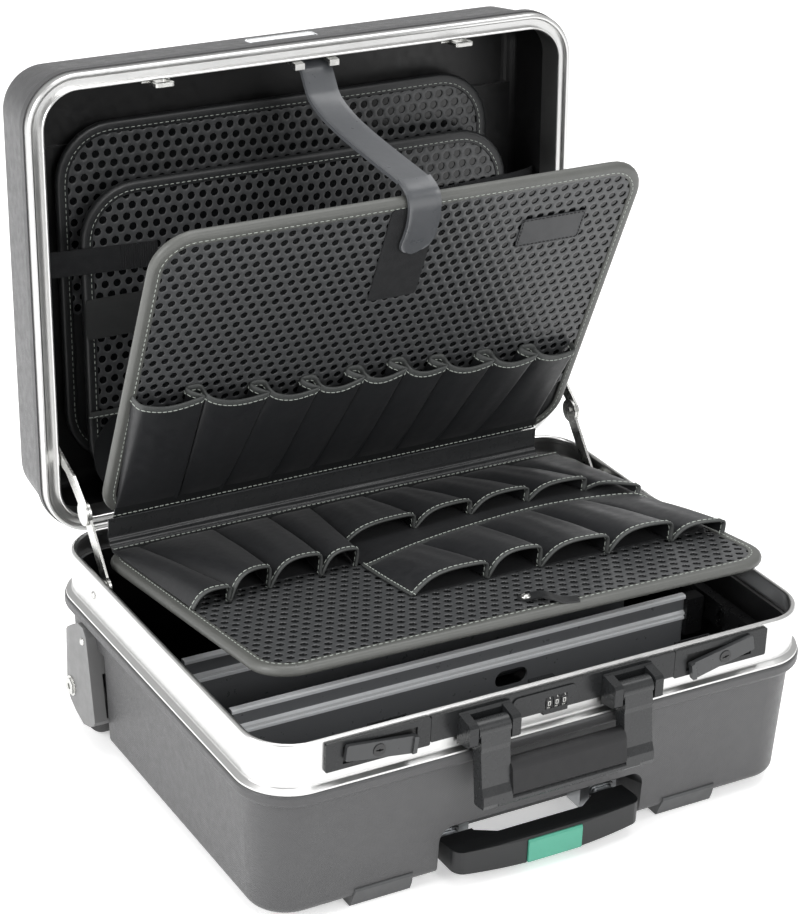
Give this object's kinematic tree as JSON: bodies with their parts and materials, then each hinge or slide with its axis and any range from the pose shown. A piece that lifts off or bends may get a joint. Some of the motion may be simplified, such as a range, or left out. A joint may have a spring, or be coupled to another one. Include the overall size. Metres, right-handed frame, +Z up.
{
  "type": "hard tool case",
  "caption": "Wheeled hard tool case with a metal-framed lid held open by stays, folding tool boards, a combination lock, a carry handle and a telescopic handle.",
  "frame": {"origin": "on the floor, under the centre of the open case's bounding box", "axes": "+Z up, +X to the right of someone facing the latches, +Y towards the hinges"},
  "size_m": [0.4996, 0.5049, 0.5327],
  "materials": {
    "shell_plastic": "satin moulded plastic with a fine ribbed texture",
    "dark_moulding": "fine matt texture",
    "frame_metal": "satin anodised",
    "divider_metal": "brushed",
    "lacquered_metal": "satin dark grey lacquer",
    "bright_steel": "zinc plated",
    "lock_black": "satin",
    "handle_rubber": "soft matt",
    "tube_metal": "clear anodised",
    "button_plastic": "smooth",
    "wheel_rubber": "matt",
    "wheel_plastic": "matt",
    "board_cover": "grained covering with stitched binding",
    "pocket_cloth": "grained pocket cloth",
    "strap_leather": "grained, double stitched"
  },
  "bodies": {
    "base": {"base_shell": "shell_plastic", "base_frame": "frame_metal", "front_feet": "dark_moulding", "wheel_housing_left": "dark_moulding", "wheel_housing_right": "dark_moulding", "axle_bolts": "bright_steel", "frame_rivets": "bright_steel", "base_hinge_leaves": "bright_steel", "hinge_pins": "bright_steel", "latch_plate_left": "lacquered_metal", "latch_plate_right": "lacquered_metal", "lock_rail": "lacquered_metal", "combination_housing": "lacquered_metal", "dial_axle": "bright_steel", "handle_bracket_left": "lacquered_metal", "handle_bracket_right": "lacquered_metal", "handle_pins": "bright_steel", "telescope_sleeves": "tube_metal", "divider_front": "divider_metal", "divider_rear": "divider_metal", "divider_brackets": "dark_moulding", "divider_rails": "dark_moulding", "stay_rivets": "bright_steel", "board_spine": "strap_leather", "board_carrier": "divider_metal"},
    "lid": {"lid_shell": "shell_plastic", "lid_frame": "frame_metal", "lid_hinge_leaves": "bright_steel", "lid_catches": "bright_steel", "lid_back_board": "board_cover", "lid_front_board": "board_cover", "lid_board_straps": "pocket_cloth", "lid_stay_rivets": "bright_steel", "holding_strap": "strap_leather"},
    "middle_tool_board": {"middle_board": "board_cover", "middle_board_pockets": "pocket_cloth", "strap_end": "strap_leather"},
    "base_tool_board": {"base_board": "board_cover", "base_board_pockets": "pocket_cloth"},
    "lower_stay_left": {"stay_lower_left": "bright_steel"},
    "lower_stay_right": {"stay_lower_right": "bright_steel"},
    "upper_stay_left": {"stay_upper_left": "bright_steel"},
    "upper_stay_right": {"stay_upper_right": "bright_steel"},
    "lever_left": {"latch_lever_left": "lacquered_metal", "lock_cylinder_left": "lock_black"},
    "lever_right": {"latch_lever_right": "lacquered_metal", "lock_cylinder_right": "lock_black"},
    "number_wheel_1": {"dial_1": "lock_black"},
    "number_wheel_2": {"dial_2": "lock_black"},
    "number_wheel_3": {"dial_3": "lock_black"},
    "handle": {"carry_handle": "lacquered_metal", "handle_grip": "handle_rubber"},
    "telescope_middle": {"telescope_mid_tubes": "tube_metal"},
    "telescope_inner": {"telescope_inner_tubes": "tube_metal", "telescope_grip": "dark_moulding"},
    "grip_button": {"release_button": "button_plastic"},
    "wheel_left": {"tyre_left": "wheel_rubber", "wheel_hub_left": "wheel_plastic"},
    "wheel_right": {"tyre_right": "wheel_rubber", "wheel_hub_right": "wheel_plastic"}
  },
  "joints": [
    {"name": "lid_hinge", "type": "hinge", "parent": "base", "child": "lid", "pos_m": [0, 0.1512, 0.1536], "axis": [1, 0, 0], "range_deg": [0, 93.2], "deforming": ["holding_strap"]},
    {"name": "middle_board_fold", "type": "hinge", "parent": "base", "child": "middle_tool_board", "pos_m": [0, 0.1179, 0.181], "axis": [1, 0, 0], "range_deg": [0, 68.2]},
    {"name": "base_board_lift", "type": "hinge", "parent": "base", "child": "base_tool_board", "pos_m": [0, 0.0969, 0.152], "axis": [1, 0, 0], "range_deg": [0, 7.2]},
    {"name": "lower_stay_left_pivot", "type": "hinge", "parent": "base", "child": "lower_stay_left", "pos_m": [-0.2282, 0.0739, 0.145], "axis": [1, 0, 0], "range_deg": [0, 119.1]},
    {"name": "upper_stay_left_pivot", "type": "hinge", "parent": "lid", "child": "upper_stay_left", "pos_m": [-0.2306, 0.16961, 0.22498], "axis": [1, 0, 0], "range_deg": [-114.3, 0]},
    {"name": "latch_lever_left_turn", "type": "hinge", "parent": "base", "child": "lever_left", "pos_m": [-0.1515, -0.2281, 0.1415], "axis": [0, -1, 0], "range_deg": [0, 6.6]},
    {"name": "wheel_left_spin", "type": "hinge", "parent": "base", "child": "wheel_left", "pos_m": [-0.222, 0.1049, 0.043], "axis": [1, 0, 0], "continuous": true},
    {"name": "lower_stay_right_pivot", "type": "hinge", "parent": "base", "child": "lower_stay_right", "pos_m": [0.2282, 0.0739, 0.145], "axis": [1, 0, 0], "range_deg": [0, 119.1]},
    {"name": "upper_stay_right_pivot", "type": "hinge", "parent": "lid", "child": "upper_stay_right", "pos_m": [0.2306, 0.16961, 0.22498], "axis": [1, 0, 0], "range_deg": [-114.3, 0]},
    {"name": "latch_lever_right_turn", "type": "hinge", "parent": "base", "child": "lever_right", "pos_m": [0.1515, -0.2281, 0.1415], "axis": [0, 1, 0], "range_deg": [0, 11.2]},
    {"name": "wheel_right_spin", "type": "hinge", "parent": "base", "child": "wheel_right", "pos_m": [0.222, 0.1049, 0.043], "axis": [1, 0, 0], "continuous": true},
    {"name": "number_wheel_1_turn", "type": "hinge", "parent": "base", "child": "number_wheel_1", "pos_m": [-0.0066, -0.2191, 0.1405], "axis": [1, 0, 0], "continuous": true},
    {"name": "number_wheel_2_turn", "type": "hinge", "parent": "base", "child": "number_wheel_2", "pos_m": [0, -0.2191, 0.1405], "axis": [1, 0, 0], "continuous": true},
    {"name": "number_wheel_3_turn", "type": "hinge", "parent": "base", "child": "number_wheel_3", "pos_m": [0.0066, -0.2191, 0.1405], "axis": [1, 0, 0], "continuous": true},
    {"name": "carry_handle_swing", "type": "hinge", "parent": "base", "child": "handle", "pos_m": [0, -0.2361, 0.141], "axis": [-1, 0, 0], "range_deg": [-7, 87]},
    {"name": "telescope_first_stage", "type": "slide", "parent": "base", "child": "telescope_middle", "axis": [0, -1, 0], "range_m": [0, 0.235]},
    {"name": "telescope_second_stage", "type": "slide", "parent": "telescope_middle", "child": "telescope_inner", "axis": [0, -1, 0], "range_m": [0, 0.225]},
    {"name": "release_button_press", "type": "slide", "parent": "telescope_inner", "child": "grip_button", "axis": [0, 1, 0], "range_m": [0, 0.003], "stiffness_N_per_m": 400, "springref_m": -0.001}
  ],
  "couplings": [
    {"joint": "middle_board_fold", "follows": "lid_hinge", "ratio": 0.72961},
    {"joint": "base_board_lift", "follows": "lid_hinge", "ratio": 0.07618},
    {"joint": "lower_stay_left_pivot", "follows": "lid_hinge", "ratio": 1.2724},
    {"joint": "upper_stay_left_pivot", "follows": "lid_hinge", "ratio": -1.2207},
    {"joint": "lower_stay_right_pivot", "follows": "lid_hinge", "ratio": 1.2724},
    {"joint": "upper_stay_right_pivot", "follows": "lid_hinge", "ratio": -1.2207}
  ]
}
